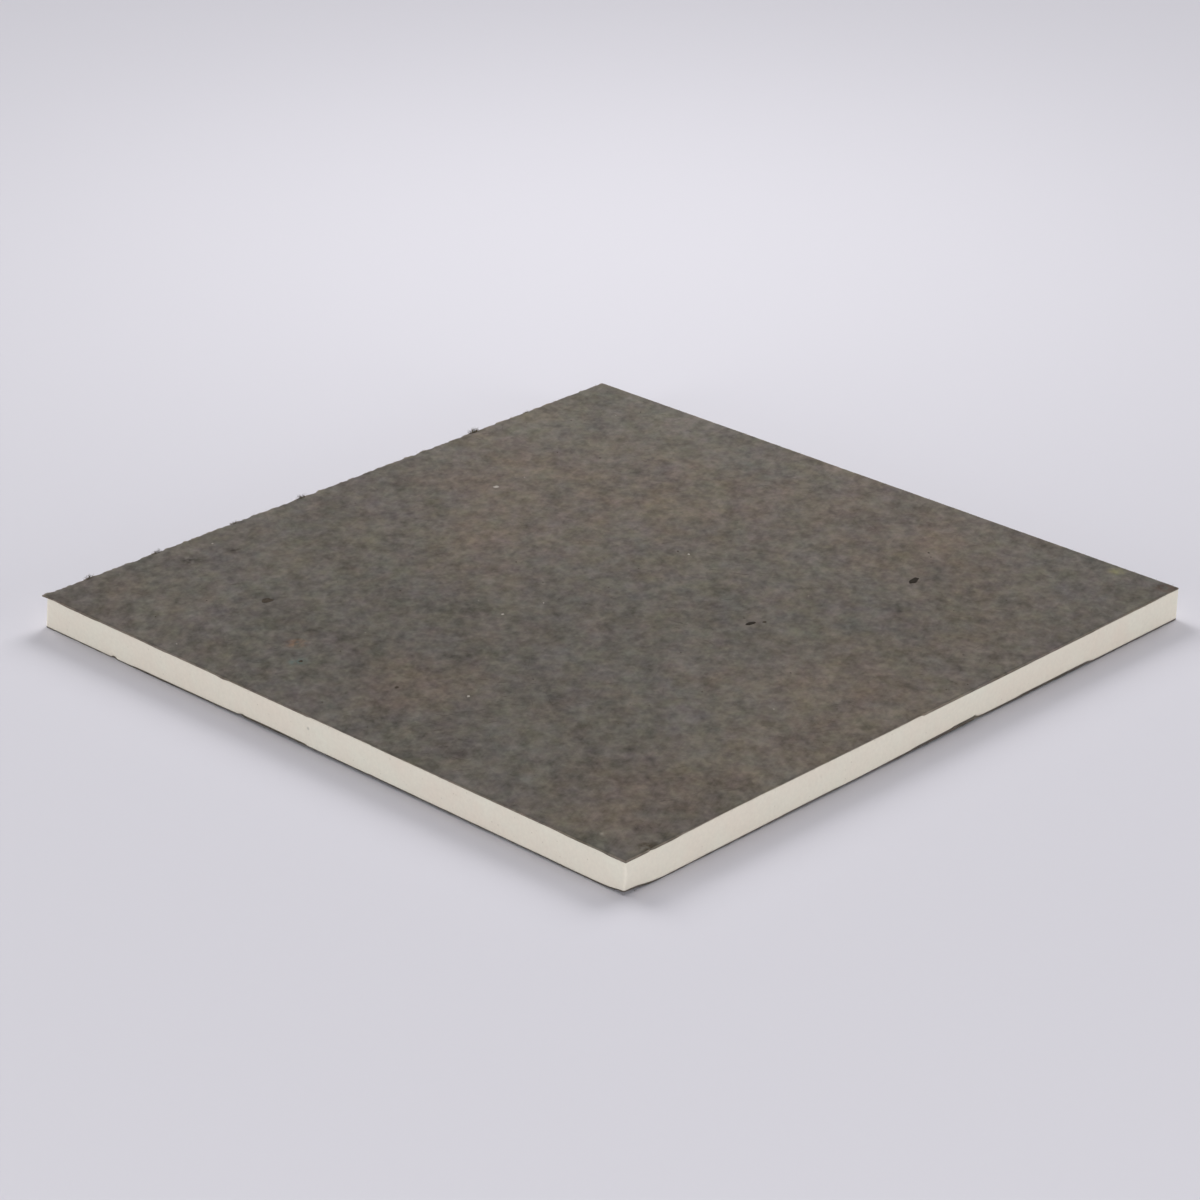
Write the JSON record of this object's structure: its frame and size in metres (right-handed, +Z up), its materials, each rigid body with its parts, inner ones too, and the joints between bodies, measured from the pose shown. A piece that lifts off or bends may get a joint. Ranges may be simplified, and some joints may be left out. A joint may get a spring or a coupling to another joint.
{
  "type": "polyiso cover board",
  "caption": "Square of rigid foam roof cover board, a cream closed-cell core between two dark grey-brown felt facers, with plainly cut edges.",
  "frame": {"origin": "centre of the underside, on the surface the board lies on", "axes": "+Z up through the thickness, +X from the front corner to the right corner, +Y from the front corner to the left corner"},
  "size_m": [0.3048, 0.3048, 0.0134],
  "materials": {
    "polyiso_foam": "matt sawn closed-cell foam, cream",
    "facer_felt": "matt fibrous felt, mottled grey-brown with a few dark and pale flecks"
  },
  "bodies": {
    "root": {"foam_core": "polyiso_foam", "top_facer": "facer_felt", "bottom_facer": "facer_felt"}
  },
  "joints": []
}
